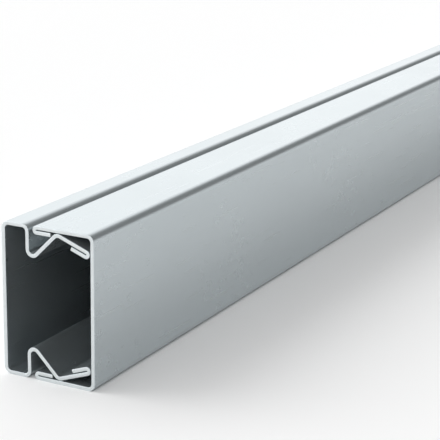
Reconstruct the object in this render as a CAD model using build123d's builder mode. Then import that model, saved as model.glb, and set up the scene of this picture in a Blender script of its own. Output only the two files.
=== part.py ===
from build123d import *

import os
from math import cos, radians, sin, tan

# Sheet-steel cable trunking: a roll-formed base channel and the cover that clips over its sprung legs.
#
# Frame: +X along the trunking, +Y out of the back wall, +Z up, origin in the middle of the underside.
# Both strips are drawn on a plane across the trunking: local x runs from the wall to the cover, and
# local y is the height above the middle, so each piece is an upper half and its mirror image.

# Driving sizes, in millimetres and degrees
length = 2000.0
height = 60.0
depth = 40.0
sheet = 1.5
bend_radius = 1.5  # inside of every open bend
shoulder_width = 12.0  # top and bottom shoulders of the base, over the outside
groove = 1.7  # open joint between a shoulder and the cover's folded edge
nose_depth = 12.5  # how far a sprung leg reaches in from the outside face
ramp_angle = 45.0  # rise of a sprung leg from its nose to its ridge
arm_angle = 20.0  # fall of a sprung leg from its ridge to its folded end
arm_hem = 8.0  # folded end of a sprung leg, tip to cut edge
hem_gap = 0.4  # daylight inside a folded edge

# Running clearances between the base and the cover
ridge_clearance = 0.2
arm_clearance = 0.25
catch_clearance = 0.15

# Fixing slots in the back wall
slot_length = 15.0
slot_width = 5.5
slot_pitch = 250.0

# Each strip is drawn by its middle line, and these are its distances and radii
half_sheet = sheet / 2
bend_line = bend_radius + half_sheet
hem_line = (hem_gap + sheet) / 2
hem_reach = hem_line + half_sheet
outside = height / 2
flange_line = outside - half_sheet
leg_line = shoulder_width - half_sheet
face_line = depth - half_sheet

# Sprung leg: down from the shoulder, round the nose, up the ramp, over the ridge and out along the arm
ramp = radians(ramp_angle)
arm = radians(arm_angle)
ramp_direction = Vector(cos(ramp), sin(ramp))
ramp_normal = Vector(sin(ramp), -cos(ramp))
arm_direction = Vector(cos(arm), -sin(arm))
arm_normal = Vector(sin(arm), cos(arm))
nose_centre = Vector(leg_line + bend_line, outside - nose_depth + half_sheet + bend_line)
nose_corner = Vector(leg_line, nose_centre.Y - bend_line * tan((radians(90) + ramp) / 2))
ridge_centre_y = outside - sheet - ridge_clearance - half_sheet - bend_line
ramp_rise = ridge_centre_y - nose_centre.Y + 2 * bend_line * cos(ramp)
ridge_centre = nose_centre + ramp_normal * (2 * bend_line) + ramp_direction * (ramp_rise / sin(ramp))
ridge_lean = radians(90) + (ramp - arm) / 2
ridge_corner = ridge_centre + Vector(cos(ridge_lean), sin(ridge_lean)) * (bend_line / cos((ramp + arm) / 2))
arm_start = ridge_centre + arm_normal * bend_line
arm_end_x = depth - sheet - arm_clearance - hem_reach + hem_line * sin(arm)
arm_end = Vector(arm_end_x, arm_start.Y - (arm_end_x - arm_start.X) * tan(arm))

# The cover's folded edges catch behind the ramps: each cut edge stops just short of its ramp
cover_edge_x = shoulder_width + groove + hem_reach
ramp_face = nose_centre + ramp_normal * bend_radius
catch_rise = outside - 2 * sheet - hem_gap - ramp_face.Y
catch_x = ramp_face.X + catch_rise / tan(ramp) - catch_clearance / sin(ramp)

across = Plane(origin=(0, depth / 2, outside), x_dir=(0, -1, 0), z_dir=(-1, 0, 0))
back_wall = Plane(origin=(0, depth / 2, outside), x_dir=(1, 0, 0), z_dir=(0, -1, 0))
slot_count = int(length // slot_pitch)

# Base channel: back wall, two shoulders and two sprung legs with folded ends
with BuildPart() as base_channel:
    with BuildSketch(across):
        with BuildLine():
            strip = FilletPolyline(
                (half_sheet, 0),
                (half_sheet, flange_line),
                (leg_line, flange_line),
                nose_corner,
                ridge_corner,
                arm_end,
                radius=bend_line,
            )
            fold = JernArc(start=strip @ 1, tangent=arm_direction, radius=hem_line, arc_size=-180)
            Line(fold @ 1, fold @ 1 - arm_direction * (arm_hem - hem_reach))
        trace(line_width=sheet)
        mirror(about=Plane.XZ)
    extrude(amount=length / 2, both=True)
    with BuildSketch(back_wall):
        with GridLocations(slot_pitch, 0, slot_count, 1):
            SlotOverall(slot_length, slot_width)
    extrude(amount=sheet, mode=Mode.SUBTRACT)

# Clip-over cover: the front face and two flanges, each folded back under itself
with BuildPart() as clip_cover:
    with BuildSketch(across):
        with BuildLine():
            strip = FilletPolyline(
                (face_line, 0),
                (face_line, flange_line),
                (cover_edge_x, flange_line),
                radius=bend_line,
            )
            fold = JernArc(start=strip @ 1, tangent=(-1, 0), radius=hem_line, arc_size=180)
            Line(fold @ 1, (catch_x, flange_line - 2 * hem_line))
        trace(line_width=sheet)
        mirror(about=Plane.XZ)
    extrude(amount=length / 2, both=True)

os.makedirs("parts", exist_ok=True)
base_channel.part.label = "base_channel"
clip_cover.part.label = "clip_cover"
export_step(base_channel.part, "parts/base_channel.step")
export_step(clip_cover.part, "parts/clip_cover.step")
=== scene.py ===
import logging
import math
from dataclasses import dataclass, field
from enum import Enum

import bpy
import numpy as np
from mathutils import Matrix, Vector


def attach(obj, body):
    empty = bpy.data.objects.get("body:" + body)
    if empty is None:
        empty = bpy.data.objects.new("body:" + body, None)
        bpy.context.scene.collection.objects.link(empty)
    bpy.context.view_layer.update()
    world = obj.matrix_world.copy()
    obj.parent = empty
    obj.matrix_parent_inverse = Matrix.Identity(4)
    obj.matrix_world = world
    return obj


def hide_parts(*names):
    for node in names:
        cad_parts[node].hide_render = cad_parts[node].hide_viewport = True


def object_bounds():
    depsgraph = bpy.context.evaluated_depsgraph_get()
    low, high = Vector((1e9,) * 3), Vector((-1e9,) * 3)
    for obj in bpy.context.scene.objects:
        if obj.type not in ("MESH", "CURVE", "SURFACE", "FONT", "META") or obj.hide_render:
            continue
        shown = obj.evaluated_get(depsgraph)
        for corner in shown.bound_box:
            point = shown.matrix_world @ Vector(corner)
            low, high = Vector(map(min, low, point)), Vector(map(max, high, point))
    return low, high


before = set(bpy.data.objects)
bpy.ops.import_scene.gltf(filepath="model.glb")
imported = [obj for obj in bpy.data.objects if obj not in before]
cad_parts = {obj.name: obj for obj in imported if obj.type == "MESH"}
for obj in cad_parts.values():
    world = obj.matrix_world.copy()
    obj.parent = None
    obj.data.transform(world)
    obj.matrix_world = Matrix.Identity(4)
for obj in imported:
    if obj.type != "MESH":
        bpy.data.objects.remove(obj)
CAD_LOW, CAD_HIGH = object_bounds()

MM = 0.001
LOG = logging.getLogger("trunking")


class Surface(Enum):
    """The two kinds of skin on a strip, as indices into its list of materials."""

    SHEET = 0
    CUT = 1


class Side(Enum):
    """The two faces of a strip, left and right of its middle line."""

    LEFT = 1.0
    RIGHT = -1.0


@dataclass(frozen=True)
class Sizes:
    """What the base channel and the cover share, in metres and radians.

    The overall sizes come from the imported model. The rest are the driving dimensions of the part.
    """

    length: float = CAD_HIGH.x - CAD_LOW.x
    height: float = CAD_HIGH.z - CAD_LOW.z
    depth: float = CAD_HIGH.y - CAD_LOW.y
    wall_y: float = CAD_HIGH.y
    middle_x: float = (CAD_HIGH.x + CAD_LOW.x) / 2
    middle_z: float = (CAD_HIGH.z + CAD_LOW.z) / 2
    sheet: float = 1.5 * MM
    bend_radius: float = 1.5 * MM
    shoulder_width: float = 12.0 * MM
    groove: float = 1.7 * MM
    nose_depth: float = 12.5 * MM
    ramp: float = math.radians(45.0)
    arm: float = math.radians(20.0)
    arm_hem: float = 8.0 * MM
    hem_gap: float = 0.4 * MM
    ridge_clearance: float = 0.2 * MM
    arm_clearance: float = 0.25 * MM
    catch_clearance: float = 0.15 * MM
    slot_length: float = 15.0 * MM
    slot_width: float = 5.5 * MM
    slot_pitch: float = 250.0 * MM

    @property
    def bend_line(self) -> float:
        """Radius of the middle line round an open bend."""
        return self.bend_radius + self.sheet / 2

    @property
    def hem_line(self) -> float:
        """Radius of the middle line round a folded edge."""
        return (self.hem_gap + self.sheet) / 2

    @property
    def hem_reach(self) -> float:
        """Outer radius of a folded edge."""
        return self.hem_line + self.sheet / 2

    @property
    def flange_line(self) -> float:
        """Height of a shoulder's or a flange's middle line above the middle of the section."""
        return self.height / 2 - self.sheet / 2

    @property
    def leg_line(self) -> float:
        """Distance of a sprung leg's middle line from the wall."""
        return self.shoulder_width - self.sheet / 2

    @property
    def nose_height(self) -> float:
        """Height of the upper nose's centre above the middle of the section."""
        return self.height / 2 - self.nose_depth + self.sheet / 2 + self.bend_line


@dataclass
class MiddleLine:
    """The middle line of a bent strip, drawn upwards from mid-height by straight runs and round turns.

    Points are (distance from the wall, height above the middle), in metres.
    """

    start: tuple[float, float]
    heading: float = math.pi / 2
    turn_step: float = math.radians(7.5)
    guard: float = 0.3 * MM
    points: np.ndarray = field(init=False)
    headings: np.ndarray = field(init=False)
    bent: np.ndarray = field(init=False)

    def __post_init__(self) -> None:
        """Starts the line with its first point."""
        self.points = np.array([self.start], float)
        self.headings = np.array([self.heading], float)
        self.bent = np.zeros(1)

    def add(self, points: np.ndarray, headings: np.ndarray, bent: float) -> None:
        """Joins more points to the end of the line.

        Args:
            points: Places of the new points.
            headings: Directions of the line at the new points.
            bent: 1 on a bend and 0 on a straight run.
        """
        self.points = np.vstack([self.points, points])
        self.headings = np.concatenate([self.headings, headings])
        self.bent = np.concatenate([self.bent, np.full(len(headings), bent)])

    def run(self, length: float, marks: tuple[float, ...] = (), cells: int = 4) -> None:
        """Adds a straight run: point = last point + distance x direction.

        A narrow cell at each end keeps the shading of the long cells flat.

        Args:
            length: How long the run is.
            marks: Distances that the run must have a point at, in rising order.
            cells: How many even cells fill the rest of the run.
        """
        first = (marks[-1] if marks else 0.0) + self.guard
        even = np.linspace(first, length - self.guard, cells + 1)
        distance = np.concatenate([marks, even, [length]])
        heading = self.headings[-1]
        direction = np.array([math.cos(heading), math.sin(heading)])
        self.add(self.points[-1] + np.outer(distance, direction), np.full(len(distance), heading), 0.0)

    def turn(self, radius: float, angle: float) -> None:
        """Adds a round turn: point = centre - signed radius x left normal at the turned heading.

        Args:
            radius: Radius of the middle line.
            angle: How far the heading turns, positive to the left.
        """
        steps = max(2, math.ceil(abs(angle) / self.turn_step))
        headings = self.headings[-1] + np.linspace(0, angle, steps + 1)[1:]
        signed = math.copysign(radius, angle)
        centre = self.points[-1] + signed * left_of(self.headings[-1:])[0]
        self.add(centre - signed * left_of(headings), headings, 1.0)

    def ease_end(self, ease: float) -> None:
        """Adds the rows on which a cut edge is eased, one radius of ease before the end and inside it.

        Args:
            ease: Radius of the eased edge.
        """
        heading = self.headings[-1]
        direction = np.array([math.cos(heading), math.sin(heading)])
        ahead = ease - eased_distances(ease)[::-1][1:]
        self.add(self.points[-1] + np.outer(ahead, direction), np.full(len(ahead), heading), 0.0)

    def mirrored(self) -> "MiddleLine":
        """The whole line: the lower half, walked backwards, then this upper half.

        Returns:
            A new line whose heading on the lower half is half a turn less the upper one's.
        """
        whole = MiddleLine(self.start)
        whole.points = np.vstack([self.points[:0:-1] * (1, -1), self.points])
        whole.headings = np.concatenate([math.pi - self.headings[:0:-1], self.headings])
        whole.bent = np.concatenate([self.bent[:0:-1], self.bent])
        return whole


def left_of(headings: np.ndarray) -> np.ndarray:
    """The unit vectors a quarter turn to the left of the headings: (-sin, cos)."""
    return np.stack([-np.sin(headings), np.cos(headings)], axis=1)


def eased_distances(ease: float) -> np.ndarray:
    """Distances from a cut edge at which it is eased: ease x (1 - cosine) over a quarter turn."""
    return ease * (1 - np.cos(np.radians([0.0, 45.0, 90.0])))


def eased_insets(ease: float) -> np.ndarray:
    """How far the skin stands back at those distances: ease x (1 - sine) over a quarter turn."""
    return ease * (1 - np.sin(np.radians([0.0, 45.0, 90.0])))


@dataclass
class Strip:
    """A bent strip of sheet: its middle line carried along X, with a skin on both sides of it.

    Skin = middle line +/- left normal x (half the sheet - inset), where the inset eases the cut edges.
    """

    name: str
    sizes: Sizes
    line: MiddleLine
    inner_stations: np.ndarray
    ease: float = 0.14 * MM
    guard: float = 0.3 * MM

    def stations(self) -> np.ndarray:
        """Places along X with the eased rows and a narrow cell at both ends."""
        half = self.sizes.length / 2
        ends = np.concatenate([eased_distances(self.ease), [self.ease + self.guard]])
        return np.concatenate([ends - half, self.inner_stations, half - ends[::-1]])

    def insets(self, stations: np.ndarray) -> np.ndarray:
        """How far the skin stands back from the full thickness, for every row and station.

        Args:
            stations: Places along X.

        Returns:
            The larger of the inset at the ends of the line and the inset at the ends of the strip.
        """
        edge = eased_insets(self.ease)
        rows = np.zeros(len(self.line.headings))
        rows[:3], rows[-3:] = edge, edge[::-1]
        columns = np.zeros(len(stations))
        columns[:3], columns[-3:] = edge, edge[::-1]
        return np.maximum(rows[:, None], columns[None, :])

    def skins(self, stations: np.ndarray) -> np.ndarray:
        """Both skins as an array of sides x rows x stations x 3 in the part's frame.

        Args:
            stations: Places along X.

        Returns:
            Points whose y falls with the distance from the wall and whose z rises with the height.
        """
        normal = left_of(self.line.headings)[:, None, :]
        reach = (self.sizes.sheet / 2 - self.insets(stations))[..., None]
        middle = self.line.points[:, None, :]
        both = np.stack([middle + side.value * normal * reach for side in Side])
        along = np.broadcast_to(stations + self.sizes.middle_x, both.shape[:3])
        return np.stack(
            [along, self.sizes.wall_y - both[..., 0], self.sizes.middle_z + both[..., 1]], axis=-1
        )

    def build(self) -> bpy.types.Object:
        """Makes the strip's mesh object.

        Returns:
            The object, at the origin, with its place in its mesh.
        """
        stations = self.stations()
        skins = self.skins(stations)
        index = np.arange(skins[..., 0].size).reshape(skins.shape[:3])
        kept = self.kept_cells(stations)
        flats = [quads(index[side][:-1, :-1], index[side][1:, :-1], index[side][1:, 1:], index[side][:-1, 1:])
                 for side in range(2)]
        sheet_faces = np.vstack([flats[0][kept.ravel()], flats[1][kept.ravel()][:, ::-1]])
        cut_faces = np.vstack([
            band(index[0][row], index[1][row]) for row in (0, -1)
        ] + [
            band(index[0][:, column], index[1][:, column]) for column in (0, -1)
        ])
        points = skins.reshape(-1, 3)
        insets = np.broadcast_to(self.insets(stations), skins.shape[:3]).ravel()
        bent = np.broadcast_to(self.line.bent[:, None], skins.shape[:3]).ravel()
        points, extra = self.punch(points, index, stations)
        faces = np.vstack([sheet_faces, cut_faces] + ([extra] if len(extra) else []))
        kinds = np.full(len(faces), Surface.CUT.value)
        kinds[: len(sheet_faces)] = Surface.SHEET.value
        added = len(points) - len(insets)
        wear = np.concatenate([insets > 0, np.ones(added)]).astype(np.float32)
        bent = np.concatenate([bent, np.zeros(added)]).astype(np.float32)
        return make_mesh(self.name, points, faces, kinds, {"edge": wear, "bend": bent})

    def kept_cells(self, stations: np.ndarray) -> np.ndarray:
        """Which cells of the skins are sheet: all of them, on a strip with no slots."""
        return np.ones((len(self.line.headings) - 1, len(stations) - 1), bool)

    def punch(self, points: np.ndarray, index: np.ndarray, stations: np.ndarray) -> tuple[np.ndarray, np.ndarray]:
        """Gives the skins their holes: none, on a strip with no slots."""
        return points, np.zeros((0, 4), int)


@dataclass
class SlottedStrip(Strip):
    """A strip with slots punched along the middle of its wall."""

    centres: tuple[float, ...] = ()
    rows: np.ndarray = field(default_factory=lambda: np.zeros(0, int))

    def columns(self, stations: np.ndarray, centre: float) -> np.ndarray:
        """The stations that cross one slot, from end to end."""
        return np.flatnonzero(np.abs(stations - centre) < self.sizes.slot_length / 2 + 1e-7)

    def kept_cells(self, stations: np.ndarray) -> np.ndarray:
        """Which cells of the skins are sheet: all but those inside a slot's outline."""
        kept = super().kept_cells(stations)
        for centre in self.centres:
            columns = self.columns(stations, centre)
            kept[self.rows[0] : self.rows[-1], columns[0] : columns[-1]] = False
        return kept

    def outline(self, along: np.ndarray, across: np.ndarray, widen: float) -> tuple[np.ndarray, np.ndarray]:
        """Moves points from a slot's bounding rectangle onto its round-ended outline.

        Past the straight part, point = end centre + unit vector away from it x radius.

        Args:
            along: Distances from the slot's centre along it.
            across: Distances from the slot's centre across it.
            widen: How much is added to the outline all round.

        Returns:
            The moved distances along and across.
        """
        radius = self.sizes.slot_width / 2
        straight = (self.sizes.slot_length - self.sizes.slot_width) / 2
        past = np.maximum(np.abs(along) - straight, 0.0)
        away = np.hypot(past, across)
        scale = (radius + widen) / np.maximum(away, 1e-9)
        return np.sign(along) * (np.minimum(np.abs(along), straight) + past * scale), across * scale

    def punch(self, points: np.ndarray, index: np.ndarray, stations: np.ndarray) -> tuple[np.ndarray, np.ndarray]:
        """Moves the skins' points onto each slot's outline and makes the slot's eased walls.

        Args:
            points: Points of both skins.
            index: Their indices as sides x rows x stations.
            stations: Places along X.

        Returns:
            The points with each slot's two wall loops added, and the faces of the walls.
        """
        points, faces = points.copy(), []
        half_sheet = self.sizes.sheet / 2
        for centre in self.centres:
            loop = loop_indices(self.rows, self.columns(stations, centre))
            rings = []
            for side, place in ((0, Side.LEFT), (1, Side.RIGHT)):
                ring = index[side][loop]
                along = points[ring, 0] - self.sizes.middle_x - centre
                across = points[ring, 2] - self.sizes.middle_z
                for widen, depth in ((self.ease, half_sheet), (0.0, half_sheet - self.ease)):
                    moved_along, moved_across = self.outline(along, across, widen)
                    moved = np.stack([
                        moved_along + centre + self.sizes.middle_x,
                        np.full(len(ring), self.sizes.wall_y - half_sheet + place.value * depth),
                        moved_across + self.sizes.middle_z,
                    ], axis=1)
                    if widen:
                        points[ring] = moved
                        rings.append(ring)
                    else:
                        rings.append(np.arange(len(ring)) + len(points))
                        points = np.vstack([points, moved])
            order = [rings[0], rings[1], rings[3], rings[2]]
            faces += [closed_band(a, b) for a, b in zip(order, order[1:])]
        return points, np.vstack(faces)


def quads(a: np.ndarray, b: np.ndarray, c: np.ndarray, d: np.ndarray) -> np.ndarray:
    """Quads from four arrays of corner indices, taken in order round each quad."""
    return np.stack([a.ravel(), b.ravel(), c.ravel(), d.ravel()], axis=1)


def band(first: np.ndarray, second: np.ndarray) -> np.ndarray:
    """The band of quads between two rows of indices that run side by side."""
    return quads(first[:-1], first[1:], second[1:], second[:-1])


def closed_band(first: np.ndarray, second: np.ndarray) -> np.ndarray:
    """The band of quads between two loops of indices."""
    return quads(first, np.roll(first, -1), np.roll(second, -1), second)


def loop_indices(rows: np.ndarray, columns: np.ndarray) -> tuple[np.ndarray, np.ndarray]:
    """The border of a block of a grid, walked round once.

    Args:
        rows: Row numbers of the block.
        columns: Column numbers of the block.

    Returns:
        Row numbers and column numbers of the border.
    """
    last, end = rows[-1], columns[-1]
    walk_rows = [np.full(len(columns) - 1, rows[0]), rows[:-1], np.full(len(columns) - 1, last), rows[:0:-1]]
    walk_columns = [columns[:-1], np.full(len(rows) - 1, end), columns[:0:-1], np.full(len(rows) - 1, columns[0])]
    return np.concatenate(walk_rows), np.concatenate(walk_columns)


def make_mesh(
    name: str, points: np.ndarray, faces: np.ndarray, kinds: np.ndarray, marks: dict[str, np.ndarray]
) -> bpy.types.Object:
    """Makes a mesh object from quads, leaving out points that no quad uses.

    Args:
        name: Name of the object and its mesh.
        points: Places of the points.
        faces: Four point numbers for each quad.
        kinds: Material index of each quad.
        marks: Values of each point, by attribute name.

    Returns:
        The new object, with its faces turned outwards and shaded smooth but for its sharp edges.
    """
    used, renumbered = np.unique(faces, return_inverse=True)
    points, faces = points[used], renumbered.reshape(faces.shape)
    mesh = bpy.data.meshes.new(name)
    mesh.vertices.add(len(points))
    mesh.vertices.foreach_set("co", points.astype(np.float32).ravel())
    mesh.loops.add(faces.size)
    mesh.loops.foreach_set("vertex_index", faces.astype(np.int32).ravel())
    mesh.polygons.add(len(faces))
    mesh.polygons.foreach_set("loop_start", np.arange(0, faces.size, 4, dtype=np.int32))
    mesh.polygons.foreach_set("material_index", kinds.astype(np.int32))
    mesh.update(calc_edges=True)
    for mark, values in marks.items():
        mesh.attributes.new(mark, "FLOAT", "POINT").data.foreach_set("value", values[used])
    turn_outwards(mesh)
    mesh.polygons.foreach_set("use_smooth", np.ones(len(faces), bool))
    mesh.set_sharp_from_angle(angle=math.radians(60))
    obj = bpy.data.objects.new(name, mesh)
    bpy.context.scene.collection.objects.link(obj)
    return obj


def turn_outwards(mesh: bpy.types.Mesh) -> None:
    """Turns every face of a closed mesh outwards.

    Args:
        mesh: The mesh, changed in place.
    """
    import bmesh

    work = bmesh.new()
    work.from_mesh(mesh)
    bmesh.ops.recalc_face_normals(work, faces=work.faces)
    work.to_mesh(mesh)
    work.free()


@dataclass
class NodeSheet:
    """A node tree being laid out, with short ways to add a node and to join sockets."""

    tree: bpy.types.NodeTree

    def add(self, kind: str, **values: object) -> bpy.types.Node:
        """Adds a node and sets its properties and its unlinked inputs.

        Args:
            kind: The node's type name without its ShaderNode prefix.
            values: Properties by name, or inputs by name with spaces as underscores.

        Returns:
            The new node.
        """
        node = self.tree.nodes.new(kind if kind.startswith("Node") else "ShaderNode" + kind)
        for key, value in values.items():
            if hasattr(node, key):
                setattr(node, key, value)
            else:
                node.inputs[key.replace("_", " ")].default_value = value
        return node

    def join(self, start: bpy.types.NodeSocket, end: bpy.types.NodeSocket) -> None:
        """Links an output to an input."""
        self.tree.links.new(start, end)

    def math(self, operation: str, *terms: object, clamp: bool = False) -> bpy.types.NodeSocket:
        """Adds a math node.

        Args:
            operation: What it works out.
            terms: Sockets or numbers.
            clamp: Whether the result is kept between 0 and 1.

        Returns:
            The result.
        """
        node = self.add("Math", operation=operation, use_clamp=clamp)
        for slot, term in zip(node.inputs, terms):
            if isinstance(term, bpy.types.NodeSocket):
                self.join(term, slot)
            else:
                slot.default_value = term
        return node.outputs[0]

    def spread(self, value: bpy.types.NodeSocket, low: float, high: float,
               to_low: float = 0.0, to_high: float = 1.0) -> bpy.types.NodeSocket:
        """Maps a value's range smoothly onto another.

        Args:
            value: The value.
            low: Where the result is to_low.
            high: Where the result is to_high.
            to_low: The result at low.
            to_high: The result at high.

        Returns:
            The mapped value, held at its ends.
        """
        node = self.add("MapRange", interpolation_type="SMOOTHSTEP",
                        From_Min=low, From_Max=high, To_Min=to_low, To_Max=to_high)
        self.join(value, node.inputs["Value"])
        return node.outputs["Result"]

    def mix(self, share: object, first: object, second: object, blend: str = "MIX") -> bpy.types.NodeSocket:
        """Mixes two colours.

        Args:
            share: How much of the second colour shows, as a socket or a number.
            first: The first colour.
            second: The second colour.
            blend: How they are mixed.

        Returns:
            The mixed colour.
        """
        node = self.add("Mix", data_type="RGBA", blend_type=blend)
        for slot, term in zip((node.inputs[0], node.inputs[6], node.inputs[7]), (share, first, second)):
            if isinstance(term, bpy.types.NodeSocket):
                self.join(term, slot)
            else:
                slot.default_value = term
        return node.outputs[2]


class Pattern(Enum):
    """The surface effects that the finishes share, each a node group built once."""

    SPANGLE = "zinc_spangle"
    ROLLING = "rolling_streaks"
    HANDLING = "handling_marks"


def new_group(pattern: Pattern, inputs: dict[str, float], outputs: tuple[str, ...]) -> tuple:
    """Starts a node group that reads a vector and some numbers.

    Args:
        pattern: Which effect it is.
        inputs: Its number inputs and their usual values.
        outputs: Its value outputs.

    Returns:
        The sheet to lay nodes on, the group's input node and its output node.
    """
    tree = bpy.data.node_groups.new(pattern.value, "ShaderNodeTree")
    tree.interface.new_socket("Vector", in_out="INPUT", socket_type="NodeSocketVector")
    for name, usual in inputs.items():
        tree.interface.new_socket(name, in_out="INPUT", socket_type="NodeSocketFloat").default_value = usual
    for name in outputs:
        tree.interface.new_socket(name, in_out="OUTPUT", socket_type="NodeSocketFloat")
    sheet = NodeSheet(tree)
    return sheet, sheet.add("NodeGroupInput"), sheet.add("NodeGroupOutput")


def build_spangle() -> None:
    """Crystals of a zinc coat: each Voronoi cell has its own shade, softened by fine noise."""
    sheet, given, out = new_group(Pattern.SPANGLE, {"Cells per metre": 350.0}, ("Shade", "Height"))
    warp = sheet.add("TexNoise", Scale=120.0, Detail=2.0)
    sheet.join(given.outputs["Vector"], warp.inputs["Vector"])
    nudged = sheet.add("VectorMath", operation="MULTIPLY_ADD")
    sheet.join(warp.outputs["Color"], nudged.inputs[0])
    nudged.inputs[1].default_value = (0.004, 0.004, 0.004)
    sheet.join(given.outputs["Vector"], nudged.inputs[2])
    crystals = sheet.add("TexVoronoi", feature="F1")
    sheet.join(nudged.outputs[0], crystals.inputs["Vector"])
    sheet.join(given.outputs["Cells per metre"], crystals.inputs["Scale"])
    single = sheet.add("SeparateColor")
    sheet.join(crystals.outputs["Color"], single.inputs[0])
    grain = sheet.add("TexNoise", Scale=2600.0, Detail=3.0, Roughness=0.6)
    sheet.join(given.outputs["Vector"], grain.inputs["Vector"])
    shade = sheet.math("MULTIPLY_ADD", grain.outputs["Factor"] if "Factor" in grain.outputs else grain.outputs[0],
                       0.5, sheet.math("MULTIPLY", single.outputs[0], 0.5))
    sheet.join(shade, out.inputs["Shade"])
    sheet.join(grain.outputs[0], out.inputs["Height"])


def build_rolling() -> None:
    """Streaks left by the rolls: noise that is drawn out thirty times along X."""
    sheet, given, out = new_group(Pattern.ROLLING, {"Streaks per metre": 700.0}, ("Streak",))
    drawn = sheet.add("Mapping", Scale=(1 / 30, 1.0, 1.0))
    sheet.join(given.outputs["Vector"], drawn.inputs["Vector"])
    fine = sheet.add("TexNoise", Detail=4.0, Roughness=0.65)
    sheet.join(drawn.outputs[0], fine.inputs["Vector"])
    sheet.join(given.outputs["Streaks per metre"], fine.inputs["Scale"])
    broad = sheet.add("TexNoise", Scale=60.0, Detail=2.0)
    sheet.join(drawn.outputs[0], broad.inputs["Vector"])
    both = sheet.math("ADD", sheet.math("MULTIPLY", fine.outputs[0], 0.6), sheet.math("MULTIPLY", broad.outputs[0], 0.4))
    sheet.join(both, out.inputs["Streak"])


def build_handling() -> None:
    """Marks of handling: broad smears where noise is high, and sparse fine scrapes along X."""
    sheet, given, out = new_group(Pattern.HANDLING, {"Smear size": 14.0}, ("Smear", "Scrape"))
    smear = sheet.add("TexNoise", Detail=5.0, Roughness=0.55)
    sheet.join(given.outputs["Vector"], smear.inputs["Vector"])
    sheet.join(given.outputs["Smear size"], smear.inputs["Scale"])
    sheet.join(sheet.spread(smear.outputs[0], 0.45, 0.72), out.inputs["Smear"])
    drawn = sheet.add("Mapping", Rotation=(0.0, math.radians(3.0), math.radians(-4.0)), Scale=(0.012, 1.0, 1.0))
    sheet.join(given.outputs["Vector"], drawn.inputs["Vector"])
    scrape = sheet.add("TexNoise", Scale=1500.0, Detail=1.0)
    sheet.join(drawn.outputs[0], scrape.inputs["Vector"])
    sheet.join(sheet.spread(scrape.outputs[0], 0.70, 0.76), out.inputs["Scrape"])


PATTERN_BUILDERS = {
    Pattern.SPANGLE: build_spangle,
    Pattern.ROLLING: build_rolling,
    Pattern.HANDLING: build_handling,
}


@dataclass(frozen=True)
class SteelFinish:
    """A bare or zinc-coated steel surface and how it varies.

    Colours are linear. The shares say how strongly each pattern shows.
    """

    name: str
    colour: tuple[float, float, float]
    roughness: float
    spangle: float
    streak: float
    smear: float
    scrape: float
    bend_dulling: float
    bump: float
    edge_brightening: float = 0.0

    def material(self) -> bpy.types.Material:
        """Makes the finish's material.

        Returns:
            A metal whose colour, roughness and fine relief vary with the shared patterns.
        """
        material = bpy.data.materials.new(self.name)
        material.use_nodes = True
        material.node_tree.nodes.clear()
        sheet = NodeSheet(material.node_tree)
        place = sheet.add("TexCoord").outputs["Object"]
        spangle = self.pattern(sheet, Pattern.SPANGLE, place)
        rolling = self.pattern(sheet, Pattern.ROLLING, place)
        handling = self.pattern(sheet, Pattern.HANDLING, place)
        bend = sheet.add("Attribute", attribute_name="bend").outputs["Fac"]
        edge = sheet.add("Attribute", attribute_name="edge").outputs["Fac"]

        shade = sheet.math("MULTIPLY", sheet.math("SUBTRACT", spangle.outputs["Shade"], 0.5), self.spangle)
        shade = sheet.math("MULTIPLY_ADD", sheet.math("SUBTRACT", rolling.outputs["Streak"], 0.5), self.streak, shade)
        shade = sheet.math("MULTIPLY_ADD", handling.outputs["Smear"], -self.smear, shade)
        shade = sheet.math("MULTIPLY_ADD", handling.outputs["Scrape"], self.scrape, shade)
        shade = sheet.math("MULTIPLY_ADD", bend, -self.bend_dulling, shade)
        shade = sheet.math("MULTIPLY_ADD", edge, self.edge_brightening, shade)
        level = sheet.math("ADD", shade, 1.0)
        grey = sheet.add("CombineColor")
        for slot in grey.inputs[:3]:
            sheet.join(level, slot)
        colour = sheet.mix(1.0, (*self.colour, 1.0), grey.outputs[0], "MULTIPLY")

        rough = sheet.math("MULTIPLY_ADD", sheet.math("SUBTRACT", spangle.outputs["Shade"], 0.5), 0.03, self.roughness)
        rough = sheet.math("MULTIPLY_ADD", handling.outputs["Smear"], 0.02, rough)
        rough = sheet.math("MULTIPLY_ADD", handling.outputs["Scrape"], -0.08, rough)
        rough = sheet.math("MULTIPLY_ADD", bend, 0.04, rough, clamp=True)

        relief = sheet.math("MULTIPLY_ADD", rolling.outputs["Streak"], 0.6,
                            sheet.math("MULTIPLY", spangle.outputs["Height"], 0.4))
        bump = sheet.add("Bump", Strength=self.bump, Distance=0.02 * MM)
        sheet.join(relief, bump.inputs["Height"])

        steel = sheet.add("BsdfPrincipled", Metallic=0.85)
        sheet.join(colour, steel.inputs["Base Color"])
        sheet.join(rough, steel.inputs["Roughness"])
        sheet.join(bump.outputs[0], steel.inputs["Normal"])
        sheet.join(steel.outputs[0], sheet.add("OutputMaterial").inputs["Surface"])
        return material

    @staticmethod
    def pattern(sheet: NodeSheet, pattern: Pattern, place: bpy.types.NodeSocket) -> bpy.types.Node:
        """Puts one of the shared patterns into a material.

        Args:
            sheet: The material's nodes.
            pattern: Which pattern.
            place: The coordinates that it reads.

        Returns:
            The group's node.
        """
        if pattern.value not in bpy.data.node_groups:
            PATTERN_BUILDERS[pattern]()
        node = sheet.add("Group", node_tree=bpy.data.node_groups[pattern.value])
        sheet.join(place, node.inputs["Vector"])
        return node


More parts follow.
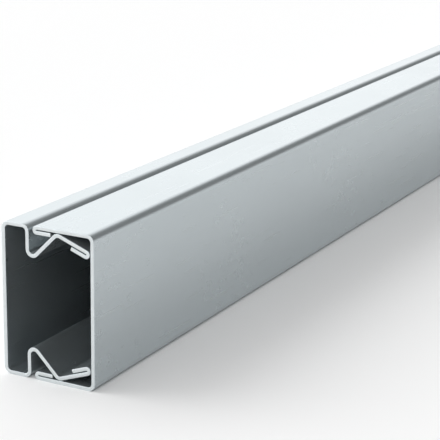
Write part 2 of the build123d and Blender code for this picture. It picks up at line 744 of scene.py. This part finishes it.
ZINC = SteelFinish(
    name="galvanised_sheet", colour=(0.52, 0.57, 0.59), roughness=0.28, spangle=0.016, streak=0.03,
    smear=0.012, scrape=0.03, bend_dulling=0.02, bump=0.05, edge_brightening=0.05,
)
SHEARED = SteelFinish(
    name="sheared_edge", colour=(0.66, 0.70, 0.71), roughness=0.42, spangle=0.10, streak=0.10,
    smear=0.05, scrape=0.0, bend_dulling=0.0, bump=0.5,
)


@dataclass
class BaseChannel:
    """The roll-formed channel: back wall, two shoulders and two sprung legs with folded ends."""

    sizes: Sizes
    slot_rows: int = 4
    body: str = "channel"
    node: str = "base_channel"
    material_slot: str = "galvanised_base"

    def middle_line(self) -> MiddleLine:
        """The whole middle line, from the lower leg's cut edge to the upper one's.

        Returns:
            Wall, shoulder, leg, nose, ramp, ridge, arm and folded end, mirrored about mid-height.
        """
        s = self.sizes
        line = MiddleLine((s.sheet / 2, 0.0))
        marks = tuple(np.linspace(0, s.slot_width / 2, self.slot_rows + 1)[1:])
        line.run(s.flange_line - s.bend_line, marks=marks, cells=5)
        line.turn(s.bend_line, -math.pi / 2)
        line.run(s.leg_line - s.sheet / 2 - 2 * s.bend_line)
        line.turn(s.bend_line, -math.pi / 2)
        line.run(s.flange_line - s.bend_line - s.nose_height)
        line.turn(s.bend_line, math.pi / 2 + s.ramp)
        ridge_height = s.height / 2 - s.sheet - s.ridge_clearance - s.sheet / 2 - s.bend_line
        rise = ridge_height - s.nose_height + 2 * s.bend_line * math.cos(s.ramp)
        line.run(rise / math.sin(s.ramp))
        line.turn(s.bend_line, -(s.ramp + s.arm))
        arm_end = s.depth - s.sheet - s.arm_clearance - s.hem_reach + s.hem_line * math.sin(s.arm)
        line.run((arm_end - line.points[-1, 0]) / math.cos(s.arm))
        line.turn(s.hem_line, -math.pi)
        line.run(s.arm_hem - s.hem_reach - EASE)
        line.ease_end(EASE)
        return line.mirrored()

    def build(self) -> bpy.types.Object:
        """Makes the channel with its fixing slots.

        Returns:
            The finished piece, riding on its body.
        """
        s = self.sizes
        line = self.middle_line()
        middle = len(line.headings) // 2
        count = int(s.length / s.slot_pitch + 1e-6)
        centres = tuple((np.arange(count) - (count - 1) / 2) * s.slot_pitch)
        straight = (s.slot_length - s.slot_width) / 2
        half_slot = np.concatenate([[0.0, straight / 2], np.linspace(straight, s.slot_length / 2, 4)])
        one_slot = np.concatenate([-half_slot[:0:-1], half_slot])
        margin = np.array([-1.0, 1.0]) * (s.slot_length / 2 + 3 * MM)
        inner = np.sort(np.concatenate([np.concatenate([one_slot, margin]) + centre for centre in centres]))
        strip = SlottedStrip(
            name="base_channel_steel", sizes=s, line=line, inner_stations=inner, ease=EASE, centres=centres,
            rows=np.arange(middle - self.slot_rows, middle + self.slot_rows + 1),
        )
        return dress(strip.build(), self.body, self.node)


@dataclass
class ClipCover:
    """The front cover: a face and two flanges, each folded back under itself."""

    sizes: Sizes
    stations: int = 41
    body: str = "cover"
    node: str = "clip_cover"
    material_slot: str = "galvanised_cover"

    def middle_line(self) -> MiddleLine:
        """The whole middle line, from the lower flange's cut edge to the upper one's.

        Returns:
            Face, flange and folded edge, mirrored about mid-height.
        """
        s = self.sizes
        face = s.depth - s.sheet / 2
        edge = s.shoulder_width + s.groove + s.hem_reach
        line = MiddleLine((face, 0.0))
        line.run(s.flange_line - s.bend_line)
        line.turn(s.bend_line, math.pi / 2)
        line.run(face - s.bend_line - edge)
        line.turn(s.hem_line, math.pi)
        ramp_face = np.array([s.leg_line + s.bend_line + s.bend_radius * math.sin(s.ramp),
                              s.nose_height - s.bend_radius * math.cos(s.ramp)])
        rise = s.height / 2 - 2 * s.sheet - s.hem_gap - ramp_face[1]
        catch = ramp_face[0] + rise / math.tan(s.ramp) - s.catch_clearance / math.sin(s.ramp)
        line.run(catch - edge - EASE)
        line.ease_end(EASE)
        return line.mirrored()

    def build(self) -> bpy.types.Object:
        """Makes the cover.

        Returns:
            The finished piece, riding on its body.
        """
        half = self.sizes.length / 2
        inner = np.linspace(-half, half, self.stations)[1:-1]
        strip = Strip(name="clip_cover_steel", sizes=self.sizes, line=self.middle_line(),
                      inner_stations=inner, ease=EASE)
        return dress(strip.build(), self.body, self.node)


EASE = 0.14 * MM


def dress(obj: bpy.types.Object, body: str, node: str) -> bpy.types.Object:
    """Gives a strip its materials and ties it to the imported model.

    Args:
        obj: The strip's object.
        body: Name of the body that it rides on.
        node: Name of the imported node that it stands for.

    Returns:
        The same object.
    """
    for finish in (ZINC, SHEARED):
        obj.data.materials.append(bpy.data.materials.get(finish.name) or finish.material())
    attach(obj, body)
    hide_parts(node)
    LOG.info("%s: %d faces on body %s, stands for %s", obj.name, len(obj.data.polygons), body, node)
    return obj


@dataclass(frozen=True)
class SoftSun:
    """Even light from far off: the way to it, how wide it looks in degrees, and its strength in watts per m2."""

    name: str
    towards: tuple[float, float, float]
    width: float
    strength: float

    def build(self) -> None:
        """Makes the lamp."""
        lamp = bpy.data.lights.new(self.name, "SUN")
        lamp.angle = math.radians(self.width)
        lamp.energy = self.strength
        obj = bpy.data.objects.new(self.name, lamp)
        obj.rotation_euler = Vector(self.towards).to_track_quat("Z", "Y").to_euler()
        bpy.context.scene.collection.objects.link(obj)


@dataclass
class Studio:
    """Floor, light and camera."""

    sizes: Sizes
    floor_colour: tuple[float, float, float] = (0.93, 0.93, 0.93)
    floor_size: float = 40.0
    dim_level: float = 0.22
    back_level: float = 1.45
    back_span: tuple[float, float] = (-0.15, 0.35)
    back_height: tuple[float, float] = (0.60, 0.95)
    overhead_level: float = 0.50
    overhead_span: tuple[float, float] = (0.55, 0.85)
    horizon_level: float = 0.90
    horizon_span: tuple[float, float] = (0.06, 0.20)
    suns: tuple[SoftSun, ...] = (
        SoftSun("back_light", towards=(-0.1, 0.8, 0.65), width=50.0, strength=1.1),
        SoftSun("end_light", towards=(-0.8, -0.35, 0.6), width=40.0, strength=1.0),
    )
    camera_place: tuple[float, float, float] = (-0.44095, -0.29930, 0.21566)
    camera_azimuth: float = -62.574
    camera_elevation: float = 15.9938
    camera_roll: float = 0.9494
    lens: float = 124.93

    def build(self) -> None:
        """Sets up everything that isn't the object."""
        self.world()
        self.floor()
        for sun in self.suns:
            sun.build()
        self.camera()

    def world(self) -> None:
        """The room's light: bright behind and overhead, a pale horizon, and dim in between.

        Level = dim + (highest of back, overhead and horizon), each a smooth step of the direction's y or z.
        """
        world = bpy.data.worlds.new("studio")
        world.use_nodes = True
        world.node_tree.nodes.clear()
        sheet = NodeSheet(world.node_tree)
        direction = sheet.add("SeparateXYZ")
        sheet.join(sheet.add("TexCoord").outputs["Generated"], direction.inputs[0])
        across, height = direction.outputs["Y"], direction.outputs["Z"]
        back = sheet.math(
            "MULTIPLY",
            sheet.spread(across, *self.back_span, to_high=self.back_level - self.dim_level),
            sheet.spread(height, *self.back_height, to_low=1.0, to_high=0.0),
        )
        overhead = sheet.spread(height, *self.overhead_span, to_high=self.overhead_level - self.dim_level)
        horizon = sheet.spread(height, *self.horizon_span, to_low=self.horizon_level - self.dim_level, to_high=0.0)
        highest = sheet.math("MAXIMUM", back, sheet.math("MAXIMUM", overhead, horizon))
        light = sheet.add("Background", Color=(1.0, 1.0, 1.0, 1.0))
        sheet.join(sheet.math("ADD", highest, self.dim_level), light.inputs["Strength"])
        sheet.join(light.outputs[0], sheet.add("OutputWorld").inputs["Surface"])
        bpy.context.scene.world = world

    def floor(self) -> None:
        """A plain pale floor that the trunking lies on."""
        half = self.floor_size / 2
        corners = [(-half, -half, 0.0), (half, -half, 0.0), (half, half, 0.0), (-half, half, 0.0)]
        mesh = bpy.data.meshes.new("floor")
        mesh.from_pydata(corners, [], [(0, 1, 2, 3)])
        floor = bpy.data.objects.new("floor", mesh)
        bpy.context.scene.collection.objects.link(floor)
        material = bpy.data.materials.new("floor_paper")
        material.use_nodes = True
        paper = material.node_tree.nodes["Principled BSDF"]
        paper.inputs["Base Color"].default_value = (*self.floor_colour, 1.0)
        paper.inputs["Roughness"].default_value = 0.9
        paper.inputs["Specular IOR Level"].default_value = 0.0
        mesh.materials.append(material)

    def camera(self) -> None:
        """The camera: to the left of the near end, a little above it, turned by azimuth, elevation and roll."""
        azimuth, elevation = math.radians(self.camera_azimuth), math.radians(self.camera_elevation)
        back = Vector((math.sin(azimuth) * math.cos(elevation), -math.cos(azimuth) * math.cos(elevation),
                       math.sin(elevation)))
        level = (-back).cross(Vector((0.0, 0.0, 1.0))).normalized()
        upright = level.cross(-back)
        roll = math.radians(self.camera_roll)
        right = level * math.cos(roll) + upright * math.sin(roll)
        up = upright * math.cos(roll) - level * math.sin(roll)
        lens = bpy.data.cameras.new("camera")
        lens.lens = self.lens
        lens.clip_start = 0.01
        lens.clip_end = 100.0
        camera = bpy.data.objects.new("camera", lens)
        near_end = Vector((self.sizes.middle_x - self.sizes.length / 2, 0.0, 0.0))
        turned = Matrix((right, up, back)).transposed().to_4x4()
        camera.matrix_world = Matrix.Translation(near_end + Vector(self.camera_place)) @ turned
        bpy.context.scene.collection.objects.link(camera)
        bpy.context.scene.camera = camera


def main() -> None:
    """Builds the trunking and its studio."""
    logging.basicConfig(level=logging.INFO, format="%(name)s: %(message)s")
    bpy.context.scene.view_settings.view_transform = "Standard"
    sizes = Sizes()
    BaseChannel(sizes).build()
    ClipCover(sizes).build()
    Studio(sizes).build()


if __name__ == "__main__":
    main()
